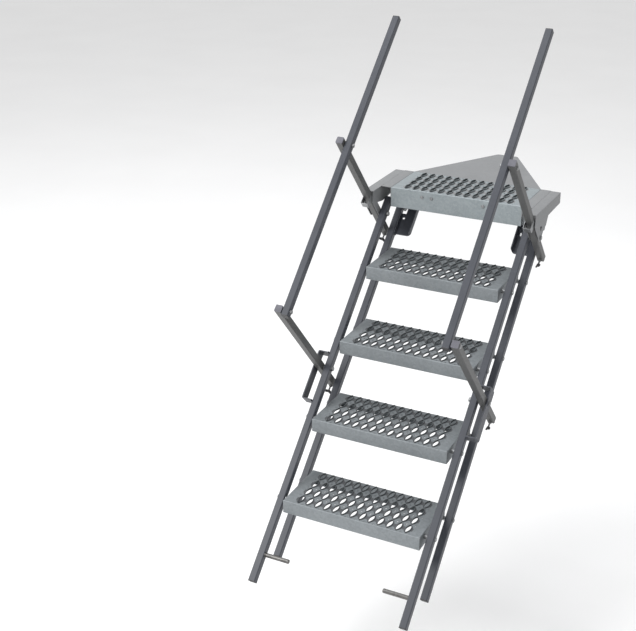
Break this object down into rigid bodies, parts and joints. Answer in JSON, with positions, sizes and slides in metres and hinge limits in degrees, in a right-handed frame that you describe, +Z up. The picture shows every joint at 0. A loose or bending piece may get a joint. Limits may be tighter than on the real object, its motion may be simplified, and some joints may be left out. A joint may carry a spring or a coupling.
{
  "type": "boarding ladder",
  "caption": "Boarding ladder: tongue-plate platform, twin stringers with self-levelling perforated treads and two handrails on folding struts.",
  "frame": {"origin": "middle of the tongue plate's underside, where it rests on the deck, 195 mm behind the platform's rear edge", "axes": "+X across the ladder to its right as seen by someone climbing it, +Y towards the deck, +Z up"},
  "size_m": [0.794, 1.9395, 2.0482],
  "materials": {
    "galvanised": "hot-dip galvanised, satin",
    "plate": "galvanised plate, matt",
    "paint": "slate powder coat, satin",
    "strut_paint": "warm grey powder coat, satin",
    "fasteners": "zinc-plated",
    "plastic": "moulded, matt"
  },
  "bodies": {
    "platform": {"platform_tread": "galvanised", "platform_bolts": "fasteners", "tongue_plate": "plate", "tongue_bolts": "fasteners", "wing_cover_left": "plate", "wing_cover_right": "plate", "wing_bolts": "fasteners", "gusset_left": "plate", "gusset_right": "plate", "hanger_left": "plate", "hanger_right": "plate", "upper_pivot_bolts": "fasteners", "rear_pivot_bolts": "fasteners"},
    "front_frame": {"front_stringer_left": "paint", "front_stringer_right": "paint", "front_plugs": "plastic", "stub_rods": "fasteners", "strut_bracket_left": "paint", "strut_bracket_right": "paint", "lower_pivot_bolts": "fasteners"},
    "rear_frame": {"rear_stringer_left": "paint", "rear_stringer_right": "paint", "rear_plugs": "plastic", "hook_plate_left": "paint", "hook_plate_right": "paint"},
    "tread_1_body": {"tread_1": "galvanised", "tread_1_bolts": "fasteners"},
    "tread_2_body": {"tread_2": "galvanised", "tread_2_bolts": "fasteners"},
    "tread_3_body": {"tread_3": "galvanised", "tread_3_bolts": "fasteners"},
    "tread_4_body": {"tread_4": "galvanised", "tread_4_bolts": "fasteners"},
    "upper_strut_left_body": {"upper_strut_left": "strut_paint", "upper_caps_left": "plastic", "strut_clip_left": "fasteners", "upper_bolt_left": "fasteners"},
    "lower_strut_left_body": {"lower_strut_left": "strut_paint", "lower_caps_left": "plastic", "lower_bolt_left": "fasteners"},
    "handrail_left_body": {"handrail_left": "paint", "handrail_caps_left": "plastic"},
    "screw_upper_left_body": {"lock_screw_upper_left": "plastic"},
    "screw_lower_left_body": {"lock_screw_lower_left": "plastic"},
    "upper_strut_right_body": {"upper_strut_right": "strut_paint", "upper_caps_right": "plastic", "strut_clip_right": "fasteners", "upper_bolt_right": "fasteners"},
    "lower_strut_right_body": {"lower_strut_right": "strut_paint", "lower_caps_right": "plastic", "lower_bolt_right": "fasteners"},
    "handrail_right_body": {"handrail_right": "paint", "handrail_caps_right": "plastic"},
    "screw_upper_right_body": {"lock_screw_upper_right": "plastic"},
    "screw_lower_right_body": {"lock_screw_lower_right": "plastic"}
  },
  "joints": [
    {"name": "ladder_tilt", "type": "hinge", "parent": "platform", "child": "front_frame", "pos_m": [0, -0.462, -0.118], "axis": [1, 0, 0], "range_deg": [0, 25]},
    {"name": "rear_tilt", "type": "hinge", "parent": "platform", "child": "rear_frame", "pos_m": [0, -0.27163, -0.1437], "axis": [1, 0, 0], "range_deg": [0, 25]},
    {"name": "tread_1_level", "type": "hinge", "parent": "front_frame", "child": "tread_1_body", "pos_m": [0, -1.43506, -1.04625], "axis": [1, 0, 0], "range_deg": [-25, 0]},
    {"name": "tread_2_level", "type": "hinge", "parent": "front_frame", "child": "tread_2_body", "pos_m": [0, -1.17551, -0.79866], "axis": [1, 0, 0], "range_deg": [-25, 0]},
    {"name": "tread_3_level", "type": "hinge", "parent": "front_frame", "child": "tread_3_body", "pos_m": [0, -0.91597, -0.55106], "axis": [1, 0, 0], "range_deg": [-25, 0]},
    {"name": "tread_4_level", "type": "hinge", "parent": "front_frame", "child": "tread_4_body", "pos_m": [0, -0.65642, -0.30347], "axis": [1, 0, 0], "range_deg": [-25, 0]},
    {"name": "handrail_fold_left", "type": "hinge", "parent": "front_frame", "child": "upper_strut_left_body", "pos_m": [-0.368, -0.462, -0.118], "axis": [1, 0, 0], "range_deg": [0, 54]},
    {"name": "handrail_level_left", "type": "hinge", "parent": "upper_strut_left_body", "child": "handrail_left_body", "pos_m": [-0.335, -0.80616, 0.28071], "axis": [1, 0, 0], "range_deg": [-54, 0]},
    {"name": "lower_strut_fold_left", "type": "hinge", "parent": "front_frame", "child": "lower_strut_left_body", "pos_m": [-0.368, -1.01191, -0.64259], "axis": [1, 0, 0], "range_deg": [0, 54]},
    {"name": "screw_upper_left_turn", "type": "hinge", "parent": "upper_strut_left_body", "child": "screw_upper_left_body", "pos_m": [-0.368, -0.36554, -0.25271], "axis": [0, -0.757, -0.6534], "range_deg": [0, 720]},
    {"name": "screw_lower_left_turn", "type": "hinge", "parent": "lower_strut_left_body", "child": "screw_lower_left_body", "pos_m": [-0.368, -0.91545, -0.7773], "axis": [0, -0.757, -0.6534], "range_deg": [0, 720]},
    {"name": "handrail_fold_right", "type": "hinge", "parent": "front_frame", "child": "upper_strut_right_body", "pos_m": [0.368, -0.462, -0.118], "axis": [1, 0, 0], "range_deg": [0, 54]},
    {"name": "handrail_level_right", "type": "hinge", "parent": "upper_strut_right_body", "child": "handrail_right_body", "pos_m": [0.335, -0.80616, 0.28071], "axis": [1, 0, 0], "range_deg": [-54, 0]},
    {"name": "lower_strut_fold_right", "type": "hinge", "parent": "front_frame", "child": "lower_strut_right_body", "pos_m": [0.368, -1.01191, -0.64259], "axis": [1, 0, 0], "range_deg": [0, 54]},
    {"name": "screw_upper_right_turn", "type": "hinge", "parent": "upper_strut_right_body", "child": "screw_upper_right_body", "pos_m": [0.368, -0.36554, -0.25271], "axis": [0, -0.757, -0.6534], "range_deg": [0, 720]},
    {"name": "screw_lower_right_turn", "type": "hinge", "parent": "lower_strut_right_body", "child": "screw_lower_right_body", "pos_m": [0.368, -0.91545, -0.7773], "axis": [0, -0.757, -0.6534], "range_deg": [0, 720]}
  ],
  "couplings": [
    {"joint": "rear_tilt", "follows": "ladder_tilt", "ratio": 1},
    {"joint": "tread_1_level", "follows": "ladder_tilt", "ratio": -1},
    {"joint": "tread_2_level", "follows": "ladder_tilt", "ratio": -1},
    {"joint": "tread_3_level", "follows": "ladder_tilt", "ratio": -1},
    {"joint": "tread_4_level", "follows": "ladder_tilt", "ratio": -1},
    {"joint": "handrail_level_left", "follows": "handrail_fold_left", "ratio": -1},
    {"joint": "lower_strut_fold_left", "follows": "handrail_fold_left", "ratio": 1},
    {"joint": "handrail_level_right", "follows": "handrail_fold_right", "ratio": -1},
    {"joint": "lower_strut_fold_right", "follows": "handrail_fold_right", "ratio": 1}
  ]
}
